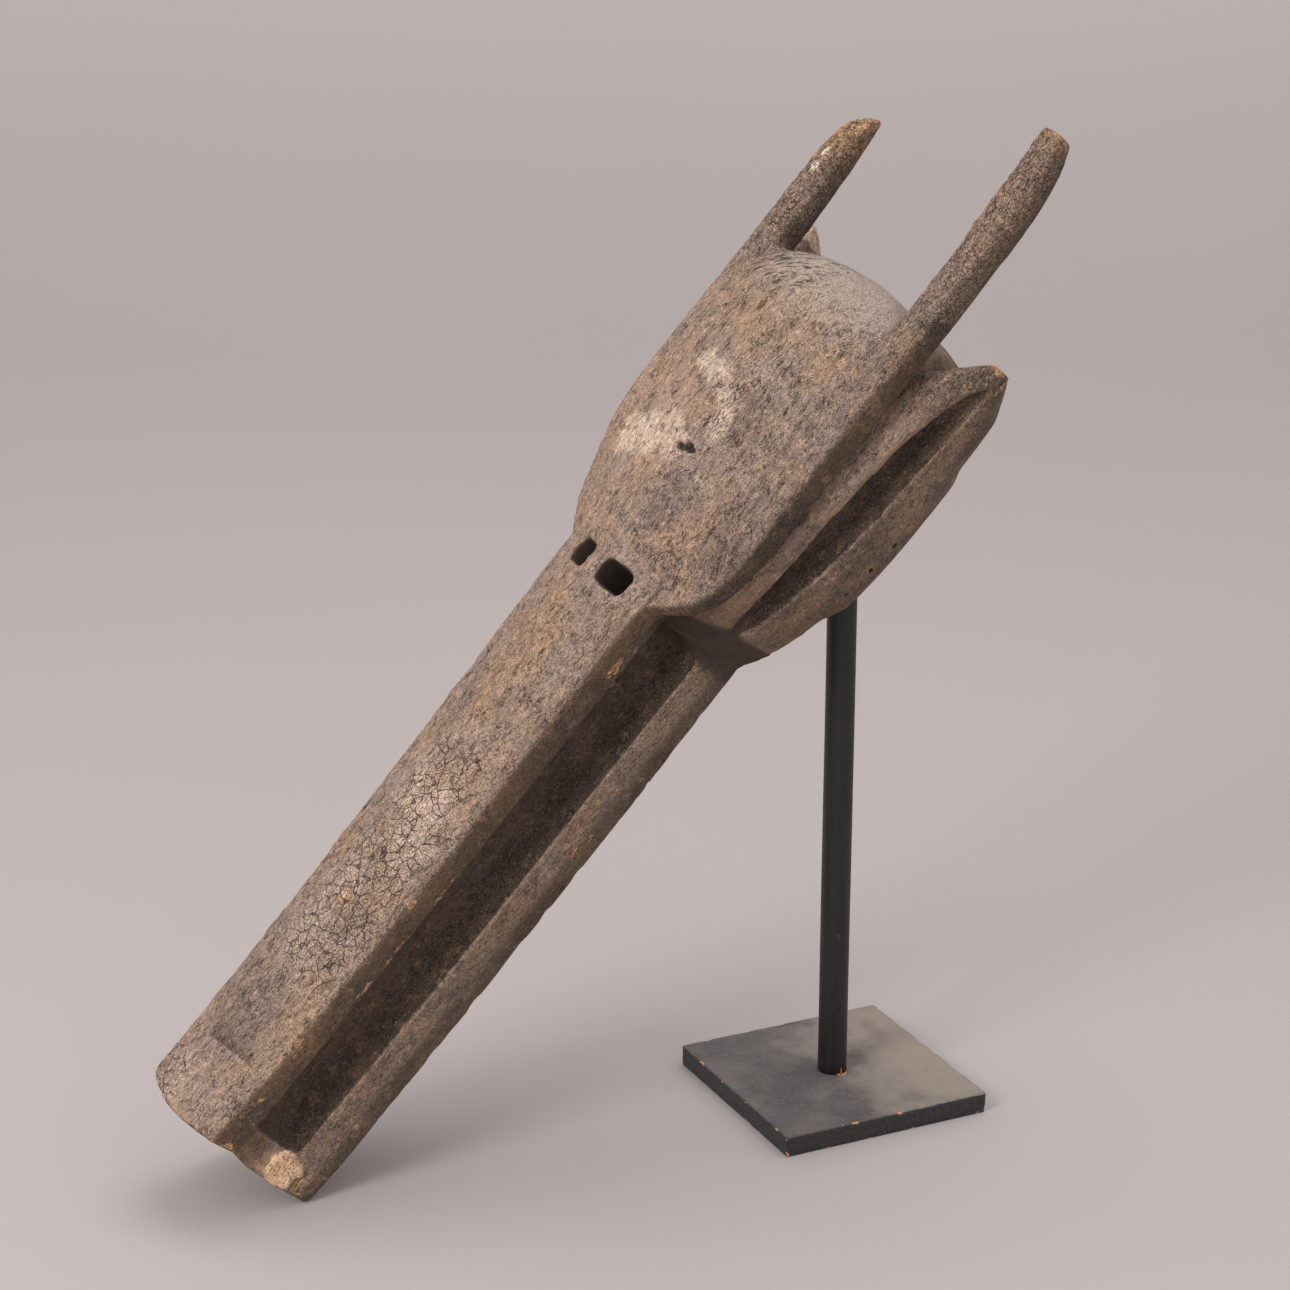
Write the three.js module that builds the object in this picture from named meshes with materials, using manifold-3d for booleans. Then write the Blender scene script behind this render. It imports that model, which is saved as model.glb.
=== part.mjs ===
// A Bamana kono helmet mask, carved from one block of wood, leaning on a dowel stand.
// Millimetres, +Z up. The origin is the centre of the base plate's underside.
// The mask is drawn in its own carving frame and then leaned into place as one group:
// X runs from the tip of the snout to the horns, Y runs across, and Z is the mask's top.

import * as THREE from 'three';
import { mergeVertices } from 'three/addons/utils/BufferGeometryUtils.js';
import Module from 'manifold-3d';

const wasm = await Module();
wasm.setup();

// The stand
const BASE_SIDE = 200;
const BASE_THICK = 19;
const BASE_EDGE = 0.6;
const BASE_YAW = 6;
const DOWEL_RADIUS = 13;
const DOWEL_TOP = 707.9;
const DOWEL_LEAN = 0.48;
const DOWEL_SOCKET = 12;
const CLEARANCE = 0.35;

// How the mask leans: nose down on the floor, head on the dowel, rolled towards its left
const PITCH = 48.9;
const ROLL = 16.5;
const TIP_X = -509;
const TIP_Y = 8;
const FLOOR_BITE = 0.9;

// The snout
const SNOUT_START = -2.5;
const SNOUT_END = 640;
const SLOT_START = 30;
const SLOT_END = 567;
const SLOT_TOP = 97.5;
const SLOT_BACK = 31;
const UPPER_JAW_BACK = 4;
const UPPER_JAW_BULGE = 6;

// The head, its dome and the helmet's hollow
const HEAD_START = 560;
const DOME_START = 796;
const DOME_END = 893;
const DOME_MID_Z = 90;
const HOLLOW_START = 552;
const HOLLOW_END = 864;

// Horns and ears
const HORN_START = 560;
const HORN_OUT = 101;
const HORN_RADIUS = 17.2;
const LEFT_HORN_TIP = 1066;
const RIGHT_HORN_TIP = 1007;
const EAR_START = 564;
const EAR_TIP = 895;
const RIGHT_EAR_LONGER = 15;

// Eye holes, cut down into the front of the hollow and narrowing inwards
const EYE_X = 571;
const EYE_LONG = 22;
const EYE_OUTER_Z = 144;
const EYE_INNER_Z = 80;
const EYES = [
  { across: -24.5, wide: 32, innerAcross: -13, innerWide: 17 },
  { across: 23.5, wide: 26, innerAcross: 12, innerWide: 15 },
];

const degrees = THREE.MathUtils.degToRad;
const lerp = THREE.MathUtils.lerp;

// A smooth curve through stations [x, value], never overshooting them
function profile(...knots) {
  const slopes = knots.map((knot, i) => {
    if (i === 0 || i === knots.length - 1) return 0;
    const before = (knot[1] - knots[i - 1][1]) / (knot[0] - knots[i - 1][0]);
    const after = (knots[i + 1][1] - knot[1]) / (knots[i + 1][0] - knot[0]);
    return before * after > 0 ? (2 * before * after) / (before + after) : 0;
  });
  return (x) => {
    const last = knots.length - 1;
    if (x <= knots[0][0]) return knots[0][1];
    if (x >= knots[last][0]) return knots[last][1];
    const i = knots.findIndex((knot) => knot[0] > x) - 1;
    const span = knots[i + 1][0] - knots[i][0];
    const t = (x - knots[i][0]) / span;
    const ease = t * t * (3 - 2 * t);
    const lead = t * (1 - t) * (1 - t) * span * slopes[i];
    const trail = t * t * (t - 1) * span * slopes[i + 1];
    return lerp(knots[i][1], knots[i + 1][1], ease) + lead + trail;
  };
}

// Stations from start to end, closer together where the spacing list says so
function stations(start, end, spacing) {
  const list = [start];
  while (list[list.length - 1] < end - 0.5) {
    const here = list[list.length - 1];
    list.push(Math.min(end, here + spacing(here)));
  }
  return list;
}

// Points between two corners of a section, bowed out to its left by a distance
function bow(from, to, count, rise = 0) {
  const along = new THREE.Vector2().subVectors(to, from);
  const out = new THREE.Vector2(-along.y, along.x).normalize();
  const points = [];
  for (let i = 0; i < count; i++) {
    const t = i / count;
    const lift = 4 * t * (1 - t) * rise;
    points.push(from.clone().addScaledVector(along, t).addScaledVector(out, lift));
  }
  return points;
}

function corner(y, z) {
  return new THREE.Vector2(y, z);
}

// Both halves of a section from its right half, drawn from top centre to bottom centre
function bothSides(half) {
  const left = half.map((p) => corner(-p.x, p.y));
  const right = half.slice(1, -1).reverse();
  return left.concat(right);
}

// A closed body through rings of points, one ring for each station along X
function loft(along, ringAt, shift = () => 0) {
  const rings = along.map(ringAt);
  const sides = rings[0].length;
  const steps = along.length - 1;
  const tube = new THREE.CylinderGeometry(1, 1, 1, sides, steps);
  tube.deleteAttribute('normal');
  tube.deleteAttribute('uv');
  const geometry = mergeVertices(tube, 1e-4);
  const position = geometry.attributes.position;
  const point = new THREE.Vector3();
  for (let v = 0; v < position.count; v++) {
    point.fromBufferAttribute(position, v);
    const step = Math.round((point.y + 0.5) * steps);
    const ring = rings[step];
    const turn = Math.atan2(point.x, point.z) / (2 * Math.PI);
    const side = (Math.round(turn * sides) + sides) % sides;
    const onAxis = Math.hypot(point.x, point.z) < 0.5;
    const place = onAxis ? centreOf(ring) : ring[side];
    position.setXYZ(v, along[step] + shift(along[step], place), place.x, place.y);
  }
  return solid(geometry);
}

function centreOf(ring) {
  const sum = ring.reduce((total, p) => total.add(p), corner(0, 0));
  return sum.divideScalar(ring.length);
}

// Closed three.js geometry to a solid, and back to geometry for the mesh
function solid(geometry) {
  const bare = geometry.clone();
  bare.deleteAttribute('normal');
  bare.deleteAttribute('uv');
  const merged = mergeVertices(bare, 1e-4);
  return new wasm.Manifold(new wasm.Mesh({
    numProp: 3,
    vertProperties: new Float32Array(merged.attributes.position.array),
    triVerts: new Uint32Array(merged.index.array),
  }));
}

function surface(body) {
  const mesh = body.getMesh();
  const geometry = new THREE.BufferGeometry();
  geometry.setAttribute('position', new THREE.BufferAttribute(mesh.vertProperties, 3));
  geometry.setIndex(new THREE.BufferAttribute(mesh.triVerts, 1));
  geometry.computeVertexNormals();
  return geometry;
}

// Snout: an arched top with a lip over each flank, and a lower jaw that slopes out below it
const snoutRidgeY = profile([0, 55], [60, 56.5], [290, 59.5], [556, 61], [640, 60]);
const snoutRidgeZ = profile([0, 130], [45, 127.5], [110, 125], [290, 125.5], [456, 129.5], [560, 132],
  [600, 122], [640, 110]);
const snoutCrown = profile([0, 143], [170, 140], [300, 142], [460, 145], [570, 149], [600, 146], [640, 138]);
const snoutBelly = profile([0, 0], [30, -2], [165, -5], [290, -6], [456, -5], [572, -2], [640, -2]);
const tipRound = profile([-2.5, 0.965], [1.5, 0.99], [6, 1]);

function snoutRing(x) {
  const ridge = corner(snoutRidgeY(x), snoutRidgeZ(x));
  const lip = corner(56, 98);
  const under = corner(46, 95.5);
  const jaw = corner(61.5, 18);
  const keel = corner(60, snoutBelly(x));
  const half = [
    ...bow(corner(0, snoutCrown(x)), ridge, 8, 2.5),
    ...bow(ridge, lip, 2, 0.6),
    ...bow(lip, under, 1),
    ...bow(under, jaw, 3, 0.8),
    ...bow(jaw, keel, 2, 0.6),
    ...bow(keel, corner(0, snoutBelly(x)), 3, 0.8),
    corner(0, snoutBelly(x) - 0.8),
  ];
  const middle = corner(0, 62);
  const size = tipRound(x);
  return bothSides(half.map((p) => p.clone().sub(middle).multiplyScalar(size).add(middle)));
}

function snout() {
  const spacing = (x) => (x < 4 ? 4 : x < 60 ? 18 : 29);
  const bulge = (x, p) => {
    const fade = 1 - THREE.MathUtils.smoothstep(x, 0, 90);
    const upper = THREE.MathUtils.smoothstep(p.y, 60, 98);
    return fade * upper * (UPPER_JAW_BACK + UPPER_JAW_BULGE * Math.min(1, (p.x / 58) ** 2));
  };
  return loft(stations(SNOUT_START, SNOUT_END, spacing), snoutRing, bulge);
}

// Side slot of the snout, scooped at its tip end and rounded at its head end, with a foot that wavers
const slotDepth = profile([SLOT_START, 52], [SLOT_START + 4, 45], [SLOT_START + 12, 37],
  [SLOT_START + 26, SLOT_BACK]);
const slotFoot = profile([SLOT_START, 43.5], [60, 43], [110, 41.3], [160, 40], [260, 38], [400, 39],
  [490, 38.5], [SLOT_END - 16, 37.3], [SLOT_END - 5, 43], [SLOT_END, 56]);

function slot(side) {
  const ringAt = (x) => {
    const back = slotDepth(x);
    const foot = slotFoot(x);
    const crest = lerp(46, 61.5, (95.5 - foot) / 77.5);
    const ring = [
      ...bow(corner(90, SLOT_TOP), corner(back + 4, SLOT_TOP - 1.5), 2),
      ...bow(corner(back + 4, SLOT_TOP - 1.5), corner(back, SLOT_TOP - 8), 1),
      ...bow(corner(back, SLOT_TOP - 8), corner(back + 1, foot + 14), 2),
      ...bow(corner(back + 1, foot + 14), corner(back + 7, foot + 7), 1),
      ...bow(corner(back + 7, foot + 7), corner(crest, foot), 2),
      ...bow(corner(crest, foot), corner(90, foot), 1),
      corner(90, foot),
    ].map((p) => corner(side * p.x, p.y));
    return side > 0 ? ring : ring.reverse();
  };
  const spacing = (x) => (x < SLOT_START + 12 ? 4 : x < SLOT_START + 26 ? 7 : x > SLOT_END - 18 ? 4 : 45);
  return loft(stations(SLOT_START, SLOT_END, spacing), ringAt);
}

// Head: an arched body that swells from the snout and closes behind in a blunt dome
const headWide = profile([560, 44], [575, 56], [588, 74], [606, 87], [626, 94], [668, 100], [710, 101]);
const headSide = profile([560, 40], [590, 62], [634, 82], [716, 98]);
const headCrown = profile([560, 147], [600, 150], [660, 158], [720, 164], [800, 165]);
const shoulderZ = profile([560, 131], [585, 123], [626, 124], [668, 131], [716, 136], [800, 137]);
const domeSide = (t) => Math.sqrt(1 - t ** 4);
const domeTop = (t) => Math.sqrt(1 - t ** 2.6);
const domeFoot = (t) => Math.sqrt(1 - t ** 9);

function headRing(x) {
  const t = THREE.MathUtils.clamp((x - DOME_START) / (DOME_END - DOME_START), 0, 0.995);
  const wide = headWide(x);
  const half = [
    ...bow(corner(0, headCrown(x)), corner(wide, shoulderZ(x)), 9, 4),
    ...bow(corner(wide, shoulderZ(x)), corner(headSide(x) + 2, 98), 3, 1.5),
    ...bow(corner(headSide(x) + 2, 98), corner(headSide(x), 0), 4),
    ...bow(corner(headSide(x), 0), corner(0, 0), 4),
    corner(0, 0),
  ];
  return bothSides(half.map((p) => {
    const rise = p.y > DOME_MID_Z ? domeTop(t) : domeFoot(t);
    return corner(p.x * domeSide(t), DOME_MID_Z + (p.y - DOME_MID_Z) * rise);
  }));
}

function head() {
  const spacing = (x) => (x < 680 ? 13 : x < DOME_START ? 24 : x < 850 ? 12 : x < 878 ? 7 : 3.5);
  return loft(stations(HEAD_START, DOME_END, spacing), headRing);
}

// Horns: each rises out of the ridge along the head's shoulder and runs straight back
const hornY = profile([560, 46], [572, 54], [585, 72], [604, 87], [626, 94.5], [668, 100], [710, HORN_OUT]);
const hornZ = profile([560, 119], [572, 117], [585, 111], [604, 110], [626, 111], [668, 116], [710, 119.5],
  [877, 120], [960, 122], [1002, 124.5], [1043, 130.5], [1066, 136.5]);
const hornSize = profile([560, 11], [604, 12], [634, 13], [668, 16], [710, HORN_RADIUS], [1000, HORN_RADIUS],
  [1043, 15.4], [1058, 13.6], [1066, 11.5]);
const hornSquare = profile([700, 3.4], [880, 2.7]);
const wornZ = profile([877, 120], [965, 123], [982, 122.5], [994, 119.5], [1007, 112]);
const wornSize = profile([900, HORN_RADIUS], [940, 16.6], [965, 15.4], [981, 13.6], [993, 11], [1002, 7.5],
  [1007, 4]);

function horn(side) {
  const worn = side > 0;
  const tip = worn ? RIGHT_HORN_TIP : LEFT_HORN_TIP;
  const sides = 18;
  const ringAt = (x) => {
    const z = worn && x > 877 ? wornZ(x) : hornZ(x);
    const radius = worn && x > 900 ? wornSize(x) : hornSize(x);
    const power = hornSquare(x);
    const ring = [];
    for (let i = 0; i < sides; i++) {
      const angle = (2 * Math.PI * i) / sides;
      const c = Math.cos(angle);
      const s = Math.sin(angle);
      const square = (Math.abs(c) ** power + Math.abs(s) ** power) ** (-1 / power);
      ring.push(corner(side * (hornY(x) + c * radius * square), z + s * radius * square));
    }
    return side > 0 ? ring : ring.reverse();
  };
  const spacing = (x) => (x < 640 ? 13 : x < 700 ? 25 : x < tip - 75 ? 50 : x < tip - 16 ? 12 : 5);
  return loft(stations(HORN_START, tip, spacing), ringAt);
}

// Ears: a long flange on each flank with a groove between its upper lip and its lower rim
const valleyY = profile([564, 40], [574, 52], [589, 74], [610, 84], [630, 91], [671, 101], [711, 103],
  [831, 104], [848, 112], [864, 120], [878, 128], [890, 135], [895, 138]);
const valleyZ = profile([564, 92], [589, 92], [630, 89], [671, 92], [711, 94], [846, 94], [864, 88],
  [878, 80], [890, 73], [895, 69]);
const lipY = profile([564, 44], [574, 55], [589, 76], [601, 83], [610, 87], [642, 98], [671, 107], [707, 114],
  [749, 119], [790, 122], [830, 128], [865, 137], [878, 140], [895, 142]);
const lipZ = profile([564, 50], [589, 52], [601, 57.5], [610, 60], [642, 67], [671, 73], [711, 79],
  [749, 78.5], [790, 76.5], [817, 73.5], [843, 70], [865, 65], [878, 57], [895, 61]);
const rimTopY = profile([564, 48], [574, 58], [586, 74], [604, 88], [624, 98], [653, 109], [691, 118],
  [756, 123], [791, 125], [831, 130], [858, 136], [878, 141], [895, 142]);
const rimTopZ = profile([564, 48], [586, 47], [604, 44], [624, 45.5], [653, 48], [691, 48], [724, 46],
  [756, 44.5], [791, 44.5], [831, 45.5], [858, 49], [878, 54], [895, 57]);
const rimY = profile([564, 50], [574, 62], [589, 77], [607, 92], [637, 105], [657, 112], [686, 120],
  [751, 126], [832, 132], [869, 137], [885, 140], [895, 142]);
const rimZ = profile([564, 40], [587, 40], [607, 31], [637, 20], [657, 12], [686, 11], [751, 16.5], [832, 27],
  [869, 36], [885, 44], [895, 51]);
const keelY = profile([564, 50], [574, 61], [589, 75], [614, 92], [630, 97], [651, 102], [672, 110],
  [713, 115], [753, 117], [831, 117], [868, 115], [883, 126], [895, 139]);
const keelZ = profile([564, -1], [589, 1], [614, 3], [634, 1], [651, 0], [668, -6], [802, -6], [814, 0],
  [862, 0], [872, 6], [884, 25], [895, 45]);
const grooveDepth = profile([589, 0], [604, 6], [630, 13], [680, 19], [830, 19], [858, 13], [872, 5],
  [879, 0]);
const innerY = profile([564, 30], [640, 70], [830, 72], [850, 92], [866, 106], [884, 122], [895, 132]);

function ear(side) {
  const ringAt = (x) => {
    const inner = innerY(x);
    const valley = corner(valleyY(x), valleyZ(x));
    const lip = corner(lipY(x), lipZ(x));
    const rimTop = corner(rimTopY(x), rimTopZ(x));
    const rim = corner(rimY(x), rimZ(x));
    const keel = corner(keelY(x), keelZ(x));
    const deep = grooveDepth(x);
    const share = deep / 19;
    const upperBack = corner(lip.x - deep, lip.y - 4 * share);
    const lowerBack = corner(rimTop.x - deep, rimTop.y + 6 * share);
    const ring = [
      ...bow(corner(inner, valley.y - 5), valley, 1),
      ...bow(valley, lip, 4, 3.5 * share),
      ...bow(lip, upperBack, 1),
      ...bow(upperBack, lowerBack, 2, -2.5 * share),
      ...bow(lowerBack, rimTop, 2),
      ...bow(rimTop, rim, 2, 1.2 * share),
      ...bow(rim, keel, 2, 1.6 * share),
      ...bow(keel, corner(inner, keel.y), 1),
      corner(inner, keel.y),
    ].map((p) => corner(side * p.x, p.y));
    return side > 0 ? ring.reverse() : ring;
  };
  // The right ear runs on a little further than the left one, most of all along its upper lip
  const longer = (x, p) => {
    const late = THREE.MathUtils.smoothstep(x, 835, EAR_TIP);
    const high = THREE.MathUtils.clamp((p.y - 38) / 28, 0, 1);
    return side > 0 ? RIGHT_EAR_LONGER * late * high : 0;
  };
  const spacing = (x) => (x < 594 ? 6 : x < 680 ? 11 : x < 800 ? 24 : x < 850 ? 13 : x < 886 ? 9 : 4);
  return loft(stations(EAR_START, EAR_TIP, spacing), ringAt, longer);
}

// The hollow for the wearer's head, open below and arched above
const hollowWide = profile([552, 21], [578, 25], [592, 37], [612, 52], [650, 70], [700, 82], [800, 82]);
const hollowRoof = profile([552, 96], [588, 101], [606, 108], [640, 122], [690, 136], [760, 139], [800, 139]);

function hollow() {
  const ringAt = (x) => {
    const t = THREE.MathUtils.clamp((x - 770) / (HOLLOW_END - 770), 0, 0.99);
    const wide = hollowWide(x) * Math.sqrt(1 - t ** 4);
    const roof = 78 + (hollowRoof(x) - 78) * Math.sqrt(1 - t ** 3);
    const half = [corner(0, roof)];
    for (let i = 1; i <= 8; i++) {
      const angle = (Math.PI / 2) * (i / 8);
      const y = wide * Math.sin(angle) ** 0.8;
      half.push(corner(y, 62 + (roof - 62) * Math.cos(angle) ** 0.8));
    }
    half.push(corner(wide, 20), corner(wide + 2, -30), corner(wide / 2, -30), corner(0, -30));
    return bothSides(half);
  };
  const spacing = (x) => (x < 640 ? 13 : x < 770 ? 30 : x < 840 ? 16 : 6);
  return loft(stations(HOLLOW_START, HOLLOW_END, spacing), ringAt);
}

// A round-cornered cutter for an eye hole, which closes in on the middle as it goes down
function eye({ across, wide, innerAcross, innerWide }) {
  const shape = new THREE.Shape();
  const [a, b, r] = [EYE_LONG / 2, wide / 2, 5];
  shape.absarc(a - r, b - r, r, 0, Math.PI / 2);
  shape.absarc(r - a, b - r, r, Math.PI / 2, Math.PI);
  shape.absarc(r - a, r - b, r, Math.PI, 1.5 * Math.PI);
  shape.absarc(a - r, r - b, r, 1.5 * Math.PI, 2 * Math.PI);
  const options = { depth: 80, bevelEnabled: false, curveSegments: 3 };
  const cutter = new THREE.ExtrudeGeometry(shape, options).translate(EYE_X, 0, EYE_INNER_Z);
  const position = cutter.attributes.position;
  for (let v = 0; v < position.count; v++) {
    const t = (position.getZ(v) - EYE_INNER_Z) / (EYE_OUTER_Z - EYE_INNER_Z);
    const narrowing = lerp(innerWide / wide, 1, t);
    position.setY(v, lerp(innerAcross, across, t) + position.getY(v) * narrowing);
  }
  return solid(cutter);
}

function carvedMask() {
  let body = snout().add(head());
  for (const side of [-1, 1]) body = body.add(horn(side)).add(ear(side));
  for (const side of [-1, 1]) body = body.subtract(slot(side));
  body = body.subtract(hollow());
  for (const hole of EYES) body = body.subtract(eye(hole));
  return body;
}

// Lean the carving, then lower it until its worn corner bites the floor a little
function leanedMask() {
  const turn = new THREE.Matrix4().makeRotationFromEuler(
    new THREE.Euler(degrees(ROLL), degrees(-PITCH), 0, 'YXZ'));
  const body = carvedMask();
  const geometry = surface(body);
  const turned = geometry.clone().applyMatrix4(turn);
  turned.computeBoundingBox();
  const place = new THREE.Vector3(TIP_X, TIP_Y, -turned.boundingBox.min.z - FLOOR_BITE);
  const lean = turn.clone().setPosition(place);
  const floor = new THREE.BoxGeometry(400, 400, 40).translate(TIP_X, TIP_Y, -20);
  const trimmed = body.subtract(solid(floor.applyMatrix4(lean.clone().invert())));
  const group = new THREE.Group();
  group.position.copy(place);
  group.quaternion.setFromRotationMatrix(turn);
  const mesh = new THREE.Mesh(surface(trimmed), woodMaterial);
  mesh.name = 'mask';
  group.add(mesh);
  return group;
}

const woodMaterial = new THREE.MeshStandardMaterial({ color: 0x6b5648, roughness: 0.92, metalness: 0 });
const dowelMaterial = new THREE.MeshStandardMaterial({ color: 0x1c1c1e, roughness: 0.5, metalness: 0 });
const plateMaterial = new THREE.MeshStandardMaterial({ color: 0x2b2b2d, roughness: 0.7, metalness: 0 });

// Base plate: a square of painted plywood with a socket for the dowel
function basePlate() {
  const half = BASE_SIDE / 2 - BASE_EDGE;
  const shape = new THREE.Shape();
  shape.moveTo(-half, -half).lineTo(half, -half).lineTo(half, half).lineTo(-half, half).closePath();
  const options = {
    depth: BASE_THICK - 2 * BASE_EDGE,
    bevelThickness: BASE_EDGE,
    bevelSize: BASE_EDGE,
    bevelSegments: 1,
  };
  const plate = new THREE.ExtrudeGeometry(shape, options).translate(0, 0, BASE_EDGE);
  const bore = new THREE.CylinderGeometry(DOWEL_RADIUS + CLEARANCE, DOWEL_RADIUS + CLEARANCE, 40, 32);
  bore.rotateX(Math.PI / 2).translate(0, 0, 20 + BASE_THICK - DOWEL_SOCKET);
  const mesh = new THREE.Mesh(surface(solid(plate).subtract(solid(bore))), plateMaterial);
  mesh.name = 'base_plate';
  mesh.rotation.z = degrees(BASE_YAW);
  return mesh;
}

// Post: a painted dowel with a small chamfer at its top, leaning a hair as it really does
function post() {
  const foot = BASE_THICK - DOWEL_SOCKET + CLEARANCE;
  const length = DOWEL_TOP - foot;
  const outline = [
    corner(0, 0),
    corner(DOWEL_RADIUS, 0),
    corner(DOWEL_RADIUS, length - 2),
    corner(DOWEL_RADIUS - 2, length),
    corner(0, length),
  ];
  const turned = new THREE.LatheGeometry(outline, 32);
  turned.rotateX(Math.PI / 2);
  const mesh = new THREE.Mesh(surface(solid(turned)), dowelMaterial);
  mesh.name = 'post';
  mesh.position.z = foot;
  mesh.rotation.y = degrees(-DOWEL_LEAN);
  return mesh;
}

const kono = new THREE.Group();
kono.add(basePlate(), post(), leanedMask());

export default kono;
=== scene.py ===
# %% [markdown]
# This lesson gives a carved wooden helmet mask and its stand the looks of the real ones.
# The mask is one block of old wood with a long slotted snout, ears and horns, crusted by years of use.
# It leans nose down on the floor, with its hollow head on a black dowel that stands in a square of plywood.
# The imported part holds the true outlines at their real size, so the first step loads it and keeps its box.

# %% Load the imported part
import math
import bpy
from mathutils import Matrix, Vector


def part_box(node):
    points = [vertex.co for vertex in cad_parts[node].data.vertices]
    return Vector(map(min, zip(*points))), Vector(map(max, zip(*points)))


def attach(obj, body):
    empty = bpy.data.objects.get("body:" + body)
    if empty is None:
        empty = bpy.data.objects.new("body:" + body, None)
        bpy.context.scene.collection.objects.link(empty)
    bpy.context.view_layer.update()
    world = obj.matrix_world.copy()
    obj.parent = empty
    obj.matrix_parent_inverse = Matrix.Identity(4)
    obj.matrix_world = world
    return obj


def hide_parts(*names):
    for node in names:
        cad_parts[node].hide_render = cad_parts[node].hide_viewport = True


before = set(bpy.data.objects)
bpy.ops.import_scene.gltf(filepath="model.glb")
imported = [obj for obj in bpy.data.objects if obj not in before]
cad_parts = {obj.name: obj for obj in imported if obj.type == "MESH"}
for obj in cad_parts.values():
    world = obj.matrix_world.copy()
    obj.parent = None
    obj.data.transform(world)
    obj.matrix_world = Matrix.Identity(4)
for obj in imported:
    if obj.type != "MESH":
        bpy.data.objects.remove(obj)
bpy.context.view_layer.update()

from types import SimpleNamespace

import bmesh
import bpy
import numpy as np
from mathutils import Matrix, Vector, noise

MM = 0.001

# %% [markdown]
# The picture was taken from some three metres away with a long lens, looking a little down.
# Its place and turns were worked out once, from the four corners of the square foot, whose size is known.

# %% Place the camera
CAMERA_PLACE = Vector((-1.21905, -2.73514, 1.50888))
CAMERA_TURN = math.radians(-20.75)
CAMERA_TILT = math.radians(69.97)
CAMERA_ROLL = math.radians(0.628)
LENS = 103.87
SENSOR = 36

camera_data = bpy.data.cameras.new("camera")
camera_data.lens = LENS
camera_data.sensor_width = SENSOR
camera = bpy.data.objects.new("camera", camera_data)
bpy.context.scene.collection.objects.link(camera)
turn = Matrix.Rotation(CAMERA_TURN, 4, "Z")
tilt = Matrix.Rotation(CAMERA_TILT, 4, "X")
roll = Matrix.Rotation(CAMERA_ROLL, 4, "Z")
camera.matrix_world = Matrix.Translation(CAMERA_PLACE) @ turn @ tilt @ roll
bpy.context.scene.camera = camera
print("camera stands", round(CAMERA_PLACE.length, 2), "m from the foot")

# %% [markdown]
# Materials are node trees, which are hard to read as code when they are long.
# One small class wraps a socket here, so that sums on it read as sums and add the Math nodes.
# Its node method makes any other node: settings come first, then the values or links of the sockets.

# %% Shader arithmetic
class Flow:
    """A value that runs through a shader. Sums on it add Math nodes to its tree."""

    def __init__(self, socket):
        self.socket = socket
        self.tree = socket.id_data

    def node(self, kind, settings, inputs, output=0):
        node = self.tree.nodes.new("ShaderNode" + kind)
        for name, value in settings.items():
            setattr(node, name, value)
        for name, value in inputs.items():
            if isinstance(value, Flow):
                self.tree.links.new(value.socket, node.inputs[name])
            else:
                node.inputs[name].default_value = value
        return Flow(node.outputs[output])

    def math(self, operation, first, second=0.0):
        return self.node("Math", {"operation": operation}, {0: first, 1: second})

    def __add__(self, other):
        return self.math("ADD", self, other)

    def __radd__(self, other):
        return self.math("ADD", other, self)

    def __sub__(self, other):
        return self.math("SUBTRACT", self, other)

    def __rsub__(self, other):
        return self.math("SUBTRACT", other, self)

    def __mul__(self, other):
        return self.math("MULTIPLY", self, other)

    def __rmul__(self, other):
        return self.math("MULTIPLY", other, self)

    def at_least(self, other):
        return self.math("MAXIMUM", self, other)

    def root(self):
        return self.math("SQRT", self)

    def sine(self):
        return self.math("SINE", self)

    def step(self, low, high):
        """0 below low, 1 above high, and a smooth rise between. A high under low falls instead."""
        settings = {"interpolation_type": "SMOOTHSTEP"}
        return self.node("MapRange", settings, {"Value": self, "From Min": low, "From Max": high})

    def near(self, level, width):
        """1 where this value is at a level, 0 from a width away. On noise it draws winding lines."""
        return self.step(level - width, level) * self.step(level + width, level)

    def scaled(self, by):
        return self.node("VectorMath", {"operation": "MULTIPLY"}, {0: self, 1: by})

    def nudged(self, by, amount):
        """The same coordinates, pushed about by a colour of noise, so that edges wander."""
        centred = by.node("VectorMath", {"operation": "SUBTRACT"}, {0: by, 1: (0.5, 0.5, 0.5)})
        return self.node("VectorMath", {"operation": "MULTIPLY_ADD"}, {0: centred, 1: (amount,) * 3, 2: self})

    def noise(self, size, detail=3, roughness=0.5, output=0):
        """Cloudy noise from about 0.25 to 0.75, with lumps of a size in metres."""
        inputs = {"Vector": self, "Scale": 1 / size, "Detail": detail, "Roughness": roughness}
        return self.node("TexNoise", {}, inputs, output)

    def cell_edges(self, size):
        """The distance to the edge of the nearest Voronoi cell, for cells of a size in metres."""
        inputs = {"Vector": self, "Scale": 1 / size}
        return self.node("TexVoronoi", {"feature": "DISTANCE_TO_EDGE"}, inputs, "Distance")

    def mix(self, first, second):
        """One colour, then the other, as this value goes from 0 to 1."""
        return self.node("Mix", {"data_type": "RGBA"}, {0: self, 6: first, 7: second}, 2)

    def lit(self, by):
        """This colour, brighter or darker by a factor."""
        return self.node("VectorMath", {"operation": "SCALE"}, {0: self, "Scale": by})

    def part(self, axis):
        return self.node("SeparateXYZ", {}, {"Vector": self}, axis)


def paint(red, green, blue):
    """A colour as an eye or a colour picker reads it, from 0 to 255, in the linear values of light."""
    linear = [((value / 255 + 0.055) / 1.055) ** 2.4 for value in (red, green, blue)]
    return (*linear, 1)


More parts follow.
